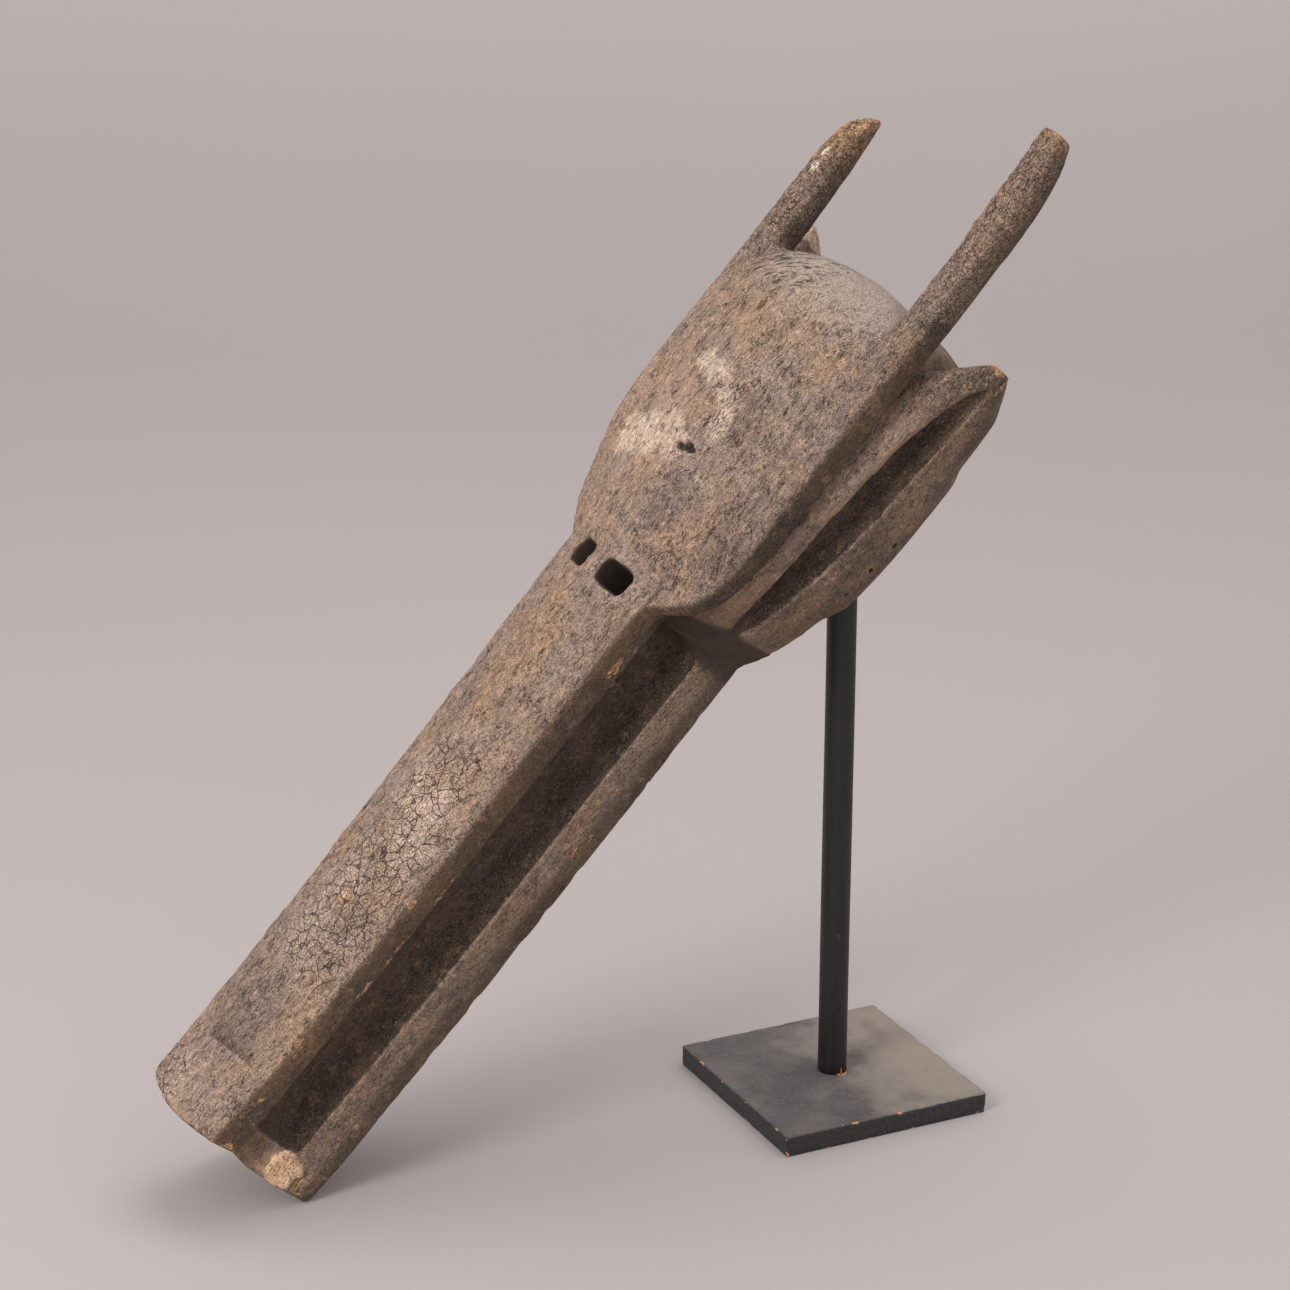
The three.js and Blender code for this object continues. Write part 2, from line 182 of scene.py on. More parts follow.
def new_material(name):
    """A material, its main shader, and the coordinates of the object in metres."""
    material = bpy.data.materials.new(name)
    material.use_nodes = True
    tree = material.node_tree
    place = Flow(tree.nodes.new("ShaderNodeTexCoord").outputs["Object"])
    return material, tree.nodes["Principled BSDF"], place


def feed(shader, **values):
    """Links a value to a socket of the shader, or sets it there when it is plain numbers."""
    for name, value in values.items():
        socket = shader.inputs[name.replace("_", " ")]
        if isinstance(value, Flow):
            value.tree.links.new(value.socket, socket)
        else:
            socket.default_value = value


def bump(height, depth):
    return height.node("Bump", {}, {"Height": height, "Distance": depth, "Strength": 1.0})


print("shader arithmetic is ready")

# %% [markdown]
# The stage is one pale sheet that lies flat and then sweeps up behind, as photographers' paper does.
# It starts as a grid, and each row of points past the bend moves up round a quarter circle.
# The flat part catches far more light than the upright part, so its paint is darker, and the two look alike.

# %% Sweep the stage up behind the object
STAGE_WIDTH = 14
STAGE_FRONT = -7
BEND_START = 2.4
BEND_RADIUS = 1.6
STAGE_LENGTH = 18
STAGE_ROWS = 90


def swept_stage():
    shape = bmesh.new()
    bmesh.ops.create_grid(shape, x_segments=1, y_segments=STAGE_ROWS, size=0.5)
    quarter = BEND_RADIUS * math.pi / 2
    for point in shape.verts:
        along = STAGE_FRONT + (point.co.y + 0.5) * STAGE_LENGTH
        past = along - BEND_START
        angle = min(max(past, 0), quarter) / BEND_RADIUS
        above = max(past - quarter, 0)
        depth = min(along, BEND_START) + BEND_RADIUS * math.sin(angle)
        height = BEND_RADIUS * (1 - math.cos(angle)) + above
        point.co = Vector((point.co.x * STAGE_WIDTH, depth, height))
    bmesh.ops.transform(shape, matrix=turn, verts=shape.verts)
    mesh = bpy.data.meshes.new("stage")
    shape.to_mesh(mesh)
    shape.free()
    mesh.shade_smooth()
    return bpy.data.objects.new("stage", mesh)


def pale_paper():
    material, shader, place = new_material("pale_paper")
    cloud = place.noise(0.9, detail=2)
    flat = cloud.mix(paint(181, 173, 172), paint(185, 177, 176))
    upright = cloud.mix(paint(242, 234, 234), paint(244, 236, 236))
    feed(shader, Base_Color=place.part("Z").step(0, 1.5).mix(flat, upright), Roughness=0.85)
    return material


stage = swept_stage()
stage.data.materials.append(pale_paper())
bpy.context.scene.collection.objects.link(stage)
print("stage sweeps up", BEND_START, "m behind the foot")

# %% [markdown]
# Two soft boxes light the object, as in a studio. The key stands left of the camera and shines straight
# onto the top of the mask, and a wide one hangs overhead. Most of the light comes from the pale sky of
# the world, which is why the shadows on the floor stay faint and soft.

# %% Light the object
LOOK_AT = Vector((-0.2, 0, 0.45))
SKY_COLOUR = (1, 0.98, 0.975, 1)
SKY_STRENGTH = 0.77


def soft_box(name, place, size, watts, colour):
    data = bpy.data.lights.new(name, "AREA")
    data.shape = "SQUARE"
    data.size = size
    data.energy = watts
    data.color = colour
    light = bpy.data.objects.new(name, data)
    facing = (LOOK_AT - Vector(place)).to_track_quat("-Z", "Y")
    light.matrix_world = Matrix.Translation(place) @ facing.to_matrix().to_4x4()
    bpy.context.scene.collection.objects.link(light)


soft_box("key", (-3.1, -1.6, 2.4), 1.3, 62, (1, 0.98, 0.95))
soft_box("overhead", (0.3, 0.1, 3.2), 1.8, 28, (1, 0.98, 0.97))

world = bpy.data.worlds.new("world")
world.use_nodes = True
feed(world.node_tree.nodes["Background"], Color=SKY_COLOUR, Strength=SKY_STRENGTH)
bpy.context.scene.world = world
bpy.context.scene.view_settings.view_transform = "Standard"
print("lit by", [light.name for light in bpy.data.lights])

# %% [markdown]
# All carving follows the wood, whose grain runs along the mask, so the work is done in the carver's
# own frame: X from the tip of the snout to the horns, Y to the wearer's right, Z out of the mask's top.
# The mask is taken out of its lean, worked on, and leaned back at the very end.

# %% Take the mask out of its lean
PITCH = math.radians(48.9)
ROLL = math.radians(16.5)
TIP = Vector((-509, 8, 10.43)) * MM
LEAN = Matrix.Translation(TIP) @ Matrix.Rotation(-PITCH, 4, "Y") @ Matrix.Rotation(ROLL, 4, "X")


def merged_copy(node, matrix):
    """A CAD node's shape with its loose triangles joined, moved by a matrix."""
    shape = bmesh.new()
    shape.from_mesh(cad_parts[node].data)
    bmesh.ops.remove_doubles(shape, verts=shape.verts, dist=0.01 * MM)
    bmesh.ops.transform(shape, matrix=matrix, verts=shape.verts)
    return shape


def shown(shape, name):
    """Turns a bmesh into an object of the scene."""
    mesh = bpy.data.meshes.new(name)
    shape.to_mesh(mesh)
    shape.free()
    piece = bpy.data.objects.new(name, mesh)
    bpy.context.scene.collection.objects.link(piece)
    return piece


def worked(piece, kind, **settings):
    """Adds a modifier to a piece and makes its result the piece's own mesh."""
    modifier = piece.modifiers.new(kind.lower(), kind)
    for name, value in settings.items():
        setattr(modifier, name, value)
    made = bpy.data.meshes.new_from_object(piece.evaluated_get(bpy.context.evaluated_depsgraph_get()))
    piece.modifiers.clear()
    old = piece.data
    piece.data = made
    bpy.data.meshes.remove(old)


mask = shown(merged_copy("mask", LEAN.inverted()), "kono_mask")
mask_size = [round(value / MM) for value in mask.dimensions]
print("mask out of its lean:", mask_size, "mm,", len(mask.data.polygons), "faces")

# %% [markdown]
# The CAD solid has flat facets, some of them long. A voxel remesh lays an even skin of small squares
# over it, which can hold lumps and pits, and it rounds every edge by about its own size.
# A few passes of smoothing then take out the last of the facets.

# %% Lay an even skin over the mask
SKIN = 2.1 * MM

worked(mask, "REMESH", mode="VOXEL", voxel_size=SKIN, use_smooth_shade=True)
worked(mask, "SMOOTH", factor=0.5, iterations=3)
print("skin of", len(mask.data.polygons), "faces")

# %% [markdown]
# The small holes along the rim once held the costume. They are narrower than the skin could carve,
# so they are drilled now, by taking three short rods away from the dense skin.

# %% Drill the holes along the rim
RIM_HOLES = [
    # along, up, radius
    (678, 12.4, 1.9),
    (705, 11.5, 2.0),
    (733, 9.2, 2.8),
]
DRILL_LENGTH = 26
DRILL_OUT = 112
DRILL_LEAN = math.radians(78)
DRILL_SIDES = 14


def add_cone(shape, sides, low_radius, high_radius, length, place=Matrix()):
    bmesh.ops.create_cone(shape, cap_ends=True, segments=sides, radius1=low_radius,
                          radius2=high_radius, depth=length, matrix=place)


def drill_bits():
    shape = bmesh.new()
    lean = Matrix.Rotation(DRILL_LEAN, 4, "X")
    for along, up, radius in RIM_HOLES:
        place = Matrix.Translation(Vector((along, -DRILL_OUT, up)) * MM) @ lean
        add_cone(shape, DRILL_SIDES, radius * MM, radius * MM, DRILL_LENGTH * MM, place)
    return shown(shape, "drill_bits")


bits = drill_bits()
worked(mask, "BOOLEAN", operation="DIFFERENCE", object=bits, solver="MANIFOLD")
bpy.data.objects.remove(bits)
print("drilled", len(RIM_HOLES), "holes,", len(mask.data.polygons), "faces")

# %% [markdown]
# Carving by code means moving each point of the skin along its normal, by a depth that is worked out
# from where the point is. NumPy does that for all points at once, in millimetres of the carving frame.
# Noise with lumps of a chosen size gives the uneven hand, and averages over neighbours find the edges.
# Soft steps up and down along an axis, multiplied together, pick out any region of the mask.

# %% Read the skin into arrays
SEED_SHIFT = 17.3


def skin_arrays(piece):
    """The points and normals of a piece, in millimetres, and the pairs of points that its edges join."""
    mesh = piece.data
    points = np.empty(len(mesh.vertices) * 3)
    mesh.vertices.foreach_get("co", points)
    normals = np.empty(len(mesh.vertices) * 3)
    mesh.vertex_normals.foreach_get("vector", normals)
    pairs = np.empty(len(mesh.edges) * 2, int)
    mesh.edges.foreach_get("vertices", pairs)
    return points.reshape(-1, 3) / MM, normals.reshape(-1, 3), pairs.reshape(-1, 2)


def place_points(piece, points):
    """Moves a piece's points to new places, given in millimetres."""
    piece.data.vertices.foreach_set("co", (points * MM).ravel())
    piece.data.update()


def evened(values, pairs, times):
    """Each point's value averaged with its neighbours', again and again."""
    count = len(values)
    ends = np.concatenate([pairs[:, 0], pairs[:, 1]])
    others = np.concatenate([pairs[:, 1], pairs[:, 0]])
    number = np.bincount(ends, minlength=count) + 1
    for _ in range(times):
        values = (values + np.bincount(ends, values[others], count)) / number
    return values


def evened_rows(rows, pairs, times):
    """The same for points or normals, one axis at a time."""
    return np.stack([evened(rows[:, axis], pairs, times) for axis in range(3)], 1)


def edge_lift(points, normals, pairs, times):
    """How far a point stands out of its surroundings, in millimetres: above 0 on an edge, below in a nook."""
    return ((points - evened_rows(points, pairs, times)) * normals).sum(1)


def ripple(points, size, seed=0):
    """Noise from -1 to 1, with lumps of a size in millimetres along X, Y and Z."""
    spots = points / np.array(size) + seed * SEED_SHIFT
    return np.array([noise.noise(spot) for spot in spots.tolist()])


def rise(values, low, high):
    """0 below low, 1 above high, and a smooth climb between."""
    share = np.clip((values - low) / (high - low), 0, 1)
    return share * share * (3 - 2 * share)


def fall(values, low, high):
    """1 below low, 0 above high, and a smooth drop between."""
    return 1 - rise(values, low, high)


def spot(points, centre, size):
    """1 at the centre of an ellipsoid, 0 on its surface and beyond."""
    away = (((points - np.array(centre)) / np.array(size)) ** 2).sum(1)
    return np.clip(1 - away, 0, 1)


points, normals, pairs = skin_arrays(mask)
print("the skin has", len(points), "points")

# %% [markdown]
# The ridges beside the forehead and the snout, and the horns that grow out of them, were never sharp.
# There the skin is moved most of the way to the average of its neighbours, over about a centimetre.
# The eye holes, the tip of the snout and the end of the longer horn keep their shape.

# %% Round the ridges and the horns
EYES_ALONG = 577
EYES_HALF = (44, 60)
HEAD_RIDGE = 98
SNOUT_RIDGE = 110
RIDGE_SOFTNESS = 0.92
ROUNDING_PASSES = 18

along, across, up = points.T
beside_eyes = np.hypot((along - EYES_ALONG) / EYES_HALF[0], across / EYES_HALF[1])
lowest = HEAD_RIDGE + (SNOUT_RIDGE - HEAD_RIDGE) * fall(along, 560, 600)
soft = RIDGE_SOFTNESS * rise(up, lowest, lowest + 9) * rise(beside_eyes, 0.9, 1.1)
soft *= rise(along, 6, 14) * (1 - rise(along, 950, 975) * (across < 0))
rounded = evened_rows(points, pairs, ROUNDING_PASSES)
place_points(mask, points + (rounded - points) * soft[:, None])
points, normals, pairs = skin_arrays(mask)
lift = edge_lift(points, normals, pairs, 8)
print("edges stand out by up to", round(float(lift.max()), 2), "mm")

# %% [markdown]
# Each part of the mask has its own look. The top is a dry, lumpy crust. The flanks are smoother,
# browner and darker, and the slots and the grooves of the ears are darkest; in both, part of the dark is
# painted shade. The back of the dome is rubbed and pale.
# These shares of 0 to 1 say which part a point is on, and every later step leans on them.
# The slots and the grooves come first. A point lies in one when it is deeper than a line from rim to rim.

# %% Find the slots, the grooves and the hollow
SLOT_ENDS = (30, 567)
SLOT_OUT = 57.3
# stations along the snout, then the height of the slot's foot at each
SLOT_FOOT = ((30, 60, 110, 160, 260, 400, 490, 567), (43.5, 43, 41.3, 40, 38, 39, 38.5, 37.3))
# how far out and how high the slot's upper edge is
SLOT_HIGH = (46, 97)
HOLLOW_UP = 20
HOLLOW_HALF = (84, 122)
EAR_GROOVE = np.array([
    # along, then how far out and how high the rim under the groove is, then the same of the lip over it
    (588, 75, 46.5, 75, 52),
    (610, 91, 44.5, 87, 60),
    (642, 105, 47.0, 98, 67),
    (671, 114, 48.0, 107, 73),
    (707, 119.5, 47.2, 114, 79),
    (749, 122.6, 44.8, 119, 78.5),
    (790, 125, 44.5, 122, 76.5),
    (817, 128.5, 45.2, 125.5, 73.5),
    (843, 132.8, 47.4, 131, 70),
    (865, 138, 51, 137, 65),
    (879, 141, 54, 140, 57),
])


def behind(out, up, low_edge, high_edge):
    """1 for points that lie deeper than the line from a low edge to a high edge, 0 in front of it."""
    share = (up - low_edge[1]) / (high_edge[1] - low_edge[1])
    line = low_edge[0] + (high_edge[0] - low_edge[0]) * share
    return rise(share, -0.03, 0.01) * fall(share, 1, 1.04) * rise(line - out, 0.4, 1.5)


along, across, up = points.T
out = abs(across)
left = -across
slot = behind(out, up, (SLOT_OUT, np.interp(along, *SLOT_FOOT)), SLOT_HIGH)
slot *= rise(along, SLOT_ENDS[0] - 1, SLOT_ENDS[0] + 1) * fall(along, SLOT_ENDS[1] - 1, SLOT_ENDS[1] + 1)
edge = [np.interp(along, EAR_GROOVE[:, 0], EAR_GROOVE[:, column]) for column in (1, 2, 3, 4)]
groove = behind(out, up, edge[:2], edge[2:]) * rise(along, 588, 594) * fall(along, 876, 880)
groove *= rise(out, 60, 66) * (1 - 0.45 * rise(along, 800, 860))
inside = fall(np.hypot(across / HOLLOW_HALF[0], (up - HOLLOW_UP) / HOLLOW_HALF[1]), 0.98, 1.02)
inside *= rise(along, 552, 562) * fall(along, 862, 868) * fall(out, 82, 84)
print("points in slots and grooves:", int((np.maximum(slot, groove) > 0.5).sum()))

# %% [markdown]
# The rest is told apart by place and by which way the skin faces. Normals averaged over a few neighbours
# give a calmer answer than the raw ones.

# %% Find the top, the horns, the dome and the brow
soft_normals = evened_rows(normals, pairs, 3)
facing_up = rise(soft_normals[:, 2], 0.2, 0.75)
horns = rise(along, 690, 720) * rise(out, 76, 86) * rise(up, 98, 104)
free_horns = horns * rise(along, 880, 905)
dome = rise(along + 0.5 * up, 895, 950) * fall(out, 98, 108) * rise(up, 20, 40)
dome *= (1 - horns) * (1 - inside)
brow = (1 - facing_up) * rise(up, 94, 99) * fall(along, 890, 905) * (1 - dome)
eye_walls = (1 - facing_up) * rise(along, 553, 557) * fall(along, 597, 601) * fall(out, 44, 48)
deep = np.maximum.reduce([slot, groove, inside, eye_walls * rise(up, 60, 80)])
crusted = facing_up * (1 - 0.6 * dome) * (1 - inside)
print("share of the skin that is crusted:", round(float(crusted.mean()), 2))

# %% [markdown]
# The carver's tool and the weather left the surface uneven at every size. Broad swells come first,
# longer along the grain than across it, then lumps the size of a thumb, then the crust's crumbs,
# and last the short pits that open where soft wood has fallen out between the fibres.

# %% Weather the whole surface
quiet = (1 - 0.7 * deep) * (0.45 + 0.55 * facing_up)
depth = 1.1 * ripple(points, (95, 46, 46), 1) * quiet
depth += 0.6 * ripple(points, (34, 17, 17), 2) * quiet
depth += (0.14 + 0.6 * crusted + 0.35 * free_horns) * ripple(points, (11, 7, 7), 3) * quiet
depth += (0.12 + 0.52 * crusted + 0.35 * free_horns) * ripple(points, (5.5, 3.6, 3.6), 4) * quiet
pits = rise(ripple(points, (15, 4.6, 4.6), 5), 0.3, 0.6) * (0.2 + 0.8 * crusted)
depth -= 0.9 * pits * quiet
print("weathering reaches", round(float(depth.min()), 2), "to", round(float(depth.max()), 2), "mm")

# %% [markdown]
# Corners and ridges have been knocked and rubbed for years. Where the surface stands out, noise decides
# how much has gone, so an edge wanders as a real one does, and the deepest chips show raw wood.

# %% Wear the edges
edges = rise(lift, 0.25, 1.1) * (1 - inside)
knocks = rise(ripple(points, (16, 9, 9), 6), 0.0, 0.75)
depth -= edges * (0.3 + 1.2 * knocks)
nicked = rise(ripple(points, (8, 4, 4), 7), 0.42, 0.62)
low_lip = rise(out, 52, 55) * rise(up, 94, 96) * fall(up, 100, 104) * fall(along, 540, 560)
chipped = edges * nicked * np.maximum(low_lip, fall(up, 4, 14))
depth -= 0.8 * chipped
print("share of chipped skin:", round(float(chipped.mean()), 4))

# %% [markdown]
# Some marks can be found one by one on the real mask: a shallow sunk panel near the tip of the snout,
# flakes that fell off the crust, two pits on the forehead, chips on the left ridge and nicks round the
# end of the snout. Noise makes their outlines ragged.

# %% Carve the marks of this one mask
PANEL_DEPTH = 3.4
PANEL_FRONT = 69
PANEL_SLANT = 0.13
FLAKES = [
    # along, across, up, half sizes, depth
    ((230, -5, 138), (10, 8.5, 14), 1.9),
    ((255, 2, 139), (4, 4, 12), 2.0),
    ((245, -9, 138), (3, 3, 12), 1.6),
    ((325, 13, 140), (6, 4, 12), 1.2),
    ((288, -22, 136), (6, 3.5, 12), 1.1),
    ((688, -8, 161), (3.6, 7, 12), 4.5),
    ((691, -16, 161), (4.4, 7, 12), 5.5),
    ((640, -38, 150), (4, 3, 12), 1.0),
]
EDGE_CHIPS = [
    # the same for chips off the edges
    ((115, -57, 125), (10, 5, 5), 2.8),
    ((103, -57, 116), (5, 4, 4), 1.3),
    ((262, -59, 124), (6, 4, 4), 1.2),
    ((10, -60, 26), (9, 5, 2.5), 1.0),
    ((3, -53, 128), (5, 5, 5), 1.6),
    ((1, -40, 134), (4, 5, 5), 1.2),
    ((0, -20, 139), (4, 5, 5), 1.2),
    ((1, 2, 142), (4, 4, 5), 1.2),
    ((2, 24, 139), (5, 6, 5), 1.5),
    ((-1, -56, 102), (6, 6, 5), 1.6),
    ((2, -57, 20), (5, 6, 6), 1.3),
    ((2, -40, 0), (5, 8, 5), 1.2),
    ((8, -57, 111), (6, 5, 7), 1.2),
    ((39, -57, 121), (5, 4, 3), 0.8),
    ((57, -57, 117), (9, 4, 3), 0.5),
    ((57, -60, 22), (8, 4, 3), 0.7),
    ((70, -60, 27), (5, 4, 3), 0.7),
    ((514, -57, 110), (16, 5, 6), 0.5),
    ((222, -57, 101), (22, 5, 3.5), 0.4),
    ((180, -57, 103), (12, 5, 3), 0.4),
    ((283, -57, 101), (16, 5, 3), 0.4),
    ((371, -60, 15), (9, 4, 5), 0.9),
    ((386, -60, 12), (5, 4, 4), 0.8),
    ((923, -110, 110), (5, 6, 5), 1.4),
    ((884, -139, 46), (11, 5, 5), 0.9),
    ((893, -140, 64), (5, 6, 8), 1.0),
]

ragged = ripple(points, (9, 9, 9), 8)
wander = ripple(points, (22, 22, 22), 9)
front = along - PANEL_FRONT + PANEL_SLANT * across + 1.6 * wander
panel = rise(front, 0, 1.8) * fall(front, 8, 75) * fall(across + 3 * wander, 17, 22)
panel *= rise(across + 5 * wander, -44, -28) * rise(up, 110, 124)
depth -= PANEL_DEPTH * panel

flaked = np.zeros(len(points))
for centre, size, deepest in FLAKES:
    share = rise(spot(points + 2.2 * ragged[:, None], centre, size), 0.05, 0.35)
    depth -= deepest * share
    flaked = np.maximum(flaked, share)
for centre, size, deepest in EDGE_CHIPS:
    share = rise(spot(points + 3 * ragged[:, None], centre, size), 0.02, 0.4)
    depth -= deepest * share
    chipped = np.maximum(chipped, share * (0.55 if deepest < 1 else 0.9))
print("carved a panel,", len(FLAKES), "flakes and", len(EDGE_CHIPS), "chips")

# %% [markdown]
# The depths are now pushed into the mesh. A second look at what stands out after the carving finds the
# crumbs that hands have polished and the nooks, which the colour makes darker.

# %% Push the carving into the mesh
carved = points + normals * depth[:, None]
place_points(mask, carved)
carved, carved_normals, _ = skin_arrays(mask)
small_lift = edge_lift(carved, carved_normals, pairs, 4)
nooks = rise(-small_lift, 0.12, 0.8) * (1 - 0.7 * deep)
rubbed = np.maximum(rise(small_lift, 0.12, 0.7), 0.6 * edges)
print("carved", len(points), "points")

# %% [markdown]
# What the shader needs to know about each point will go with the mesh as attributes, so that the
# colours lie exactly on the carved marks.
# First come the dust on what faces up and on the jaw, which also stands for the lit side, the rest taking
# painted shade; then darker nooks and pits, and painted shade in the corner of the sunk panel, in the pits
# of the forehead and in the eye holes; and bare wood, which use has left on the chips, on the ear's tip
# and on the horns' ends.

# %% Find the dust and the lit side, the painted shade and the bare wood
jaw_side = rise(out, 50, 54) * fall(along, 540, 570) * fall(up, 92, 97) * (1 - deep)
jaw_dust = jaw_side * rise(up, 12, 24) * (0.36 + 0.12 * wander)
# Up-facing skin is dusty and also stands for the lit side; the rest gets the side colour, partly painted
# shade.
dusty = np.maximum(facing_up * (1 - 0.95 * inside), jaw_dust)

# Painted shade in the front corner of the sunk panel, under its step, and in the two pits of the forehead.
panel_corner_shade = panel * (0.55 * fall(front, 0, 34) + 0.45 * fall(front, 3, 7))
forehead_pit_shade = 1.7 * flaked * rise(up, 150, 155)
# Painted shade in the eye holes, where the hollow shows through.
eyes = eye_walls * rise(up, 66, 90) + inside * fall(along, 600, 640)
sunk = np.maximum.reduce([nooks, 0.7 * pits, panel_corner_shade, forehead_pit_shade, 1.5 * eyes])

far_tip = rise(along, 935, 980) * rise(across, 80, 90)
near_tip = rise(along, 1045, 1064) * rise(left, 80, 90)
ear_tip = rise(along, 866, 892) * rise(out, 112, 126) * rise(lift, 0.1, 0.8)
ochre_rim = 0.35 * facing_up * rise(along, 955, 985)
horn_ends = np.maximum(far_tip * (0.1 + edges + ochre_rim), 0.35 * near_tip)
fallen = 0.95 * flaked * fall(along, 500, 600)
bare = np.maximum.reduce([chipped, horn_ends, 0.4 * ear_tip, fallen])
print("share of bare wood:", round(float(bare.mean()), 4))

# %% [markdown]
# Cream paint is left in patches on the forehead, at the broken corner of the snout and on one ear, and
# the right horn has two white specks. Down the snout and at its tip the crust has cracked into small
# plates, and behind the forehead it has puckered into creases. The edges of the large patches wander,
# because noise shifts the points about before their distance from a patch is measured.

# %% Find the paint, the plates and the creases
CREAM = [
    # along, across, half sizes of the pale patches on the forehead
    ((672, 64), (21, 28)),
    ((686, 30), (24, 28)),
    ((688, 6), (21, 20)),
    ((723, -27), (19, 10)),
    ((742, -13), (14, 14)),
    ((753, 10), (12, 17)),
    ((757, 33), (12, 13)),
]

shift = np.stack([7 * wander + 4 * ragged, 6 * wander - 4 * ragged], 1)
cream = np.zeros(len(points))
for centre, size in CREAM:
    away = (((points[:, :2] + shift - np.array(centre)) / np.array(size)) ** 2).sum(1)
    cream = np.maximum(cream, fall(away, -0.1, 1.7))
broken_corner = rise(spot(points + 5 * (ragged + wander)[:, None], (12, -58, 46), (19, 18, 20)), 0.05, 0.4)
ear_end = rise(spot(points, (903, 132, 62), (26, 24, 28)), 0.1, 0.5)
pale = np.maximum.reduce([cream * rise(up, 130, 140) * facing_up, broken_corner, 0.9 * ear_end])
first_speck = rise(spot(points, (940, 100, 137), (7, 5, 6)), 0.2, 0.5)
second_speck = rise(spot(points, (955, 100, 138), (5, 4, 6)), 0.2, 0.5)

snout_plates = rise(along + 14 * wander, 135, 175) * fall(along - 20 * wander, 350, 430)
snout_plates *= rise(up, 118, 124) * rise(across + 12 * wander, -60, -34) * fall(across, 6, 40)
tip_plates = fall(along - 5 * wander, 30, 60) * rise(across + 10 * wander, -12, 14) * rise(up, 118, 124)
creased = rise(along, 810, 848) * rise(up, 90, 112) * rise(across + 20 * wander, -40, 40) * (1 - 0.8 * horns)
neck = rise(along, 560, 570) * fall(along, 582, 596) * rise(out, 34, 44)
neck *= fall(up, 112, 124) * rise(up, 20, 40)
print("share of cream paint:", round(float(pale.mean()), 4))

# %% [markdown]
# Large soft stains, and places a little lighter or more tan than the rest, keep the mask from looking
# evenly sprayed. The left ridge of the snout is stained too, and the left ridge of the head gets painted
# shade on its shoulder. The slope above each ear and the dome's flanks under the horns get painted light,
# and the lower side of the right horn, the start of the brow and of the left ridge, and the slope by the
# ear's end get painted shade.

# %% Find the stains and the lighter and warmer places
STAINS = [
    # along, across, up, half sizes and strength of the darker, greyer stains
    ((105, 6, 140), (48, 44, 50), 0.8),
    ((212, -16, 140), (48, 34, 50), 0.6),
    ((404, 26, 140), (38, 14, 50), 0.8),
    ((428, -14, 140), (7, 26, 50), 0.5),
    ((645, -25, 155), (34, 21, 60), 0.8),
    ((742, -46, 155), (42, 22, 60), 0.7),
    ((650, -82, 140), (50, 18, 60), 0.4),
    ((30, 40, 138), (32, 22, 40), 0.5),
]
LIGHTER = [
    # the same for the lighter places
    ((14, 10, 135), (40, 62, 50), 0.7),
    ((325, -20, 140), (50, 38, 50), 0.8),
    ((690, 50, 155), (80, 56, 60), 0.8),
    ((716, 84, 145), (42, 34, 50), 0.8),
    ((620, 45, 150), (42, 34, 50), 0.5),
    ((14, -58, 74), (20, 18, 24), 2.2),
    ((592, -72, 46), (26, 30, 52), 1.2),
]
WARMER = [
    # the same for the tan places
    ((818, 0, 160), (56, 44, 70), 0.8),
    ((790, 66, 150), (50, 24, 60), 0.5),
    ((822, -72, 150), (34, 14, 60), 0.7),
    ((478, 2, 140), (80, 36, 50), 0.9),
    ((658, -68, 150), (11, 9, 40), 1.0),
]


def clouded(spots):
    """The strongest of some soft spots at each point, with wandering edges."""
    moved = points + 9 * wander[:, None] + 5 * ragged[:, None]
    shares = [strength * rise(spot(moved, centre, size), 0, 0.7) for centre, size, strength in spots]
    return np.maximum.reduce(shares)


snout_ridge = rise(left, 46, 56) * rise(along, 180, 260) * fall(along, 540, 560) * rise(up, 112, 120)
# Painted shade on the shoulder of the head's left ridge, mixed in with the stains.
head_ridge_shade = rise(left, 74, 96) * rise(along, 585, 610) * fall(along, 840, 880)
stained = np.maximum(clouded(STAINS), 0.75 * np.maximum(snout_ridge, head_ridge_shade)) * (1 - deep)

# Painted light on the slope above each ear, fading near its end, and on the dome's flanks under the horns.
ear_slope = rise(up, 55, 64) * fall(up, 92, 98) * (1 - dome)
ear_slope_light = ear_slope * rise(out, 72, 88) * rise(along, 590, 620) * (1 - 0.85 * rise(along, 790, 860))
dome_flank_light = dome * rise(out, 84, 94) * fall(up, 98, 104)
lighter_and_lit_places = np.maximum.reduce([clouded(LIGHTER), 2.2 * ear_slope_light * (1 - deep), 4.2 * dome_flank_light])
# Painted shade: the right horn's lower side, the start of the brow and of the left ridge, the ear's end.
far_horn_side = horns * rise(across, 60, 70) * (1 - facing_up)
brow_start = brow * rise(along, 586, 606) * fall(along, 690, 760)
ridge_start = facing_up * rise(left - 0.2 * wander, 66, 88) * rise(along, 590, 610) * fall(along, 640, 690)
ear_end_slope = ear_slope * rise(out, 84, 100) * rise(along, 800, 850)
shaded = np.maximum.reduce([1.4 * far_horn_side, 0.9 * brow_start, 0.8 * ridge_start, 0.8 * ear_end_slope])
print("share of stained skin:", round(float((stained > 0.25).mean()), 2))

# %% [markdown]
# All these shares are stored now, one number for each point and name. The thinning that follows blends
# the numbers of the points that it joins.

# %% Store the marks on the mesh
def keep(piece, name, values):
    """Stores one value for each point of a piece, which its material reads by name."""
    attribute = piece.data.attributes.new(name, "FLOAT", "POINT")
    attribute.data.foreach_set("value", np.asarray(values, np.float32))


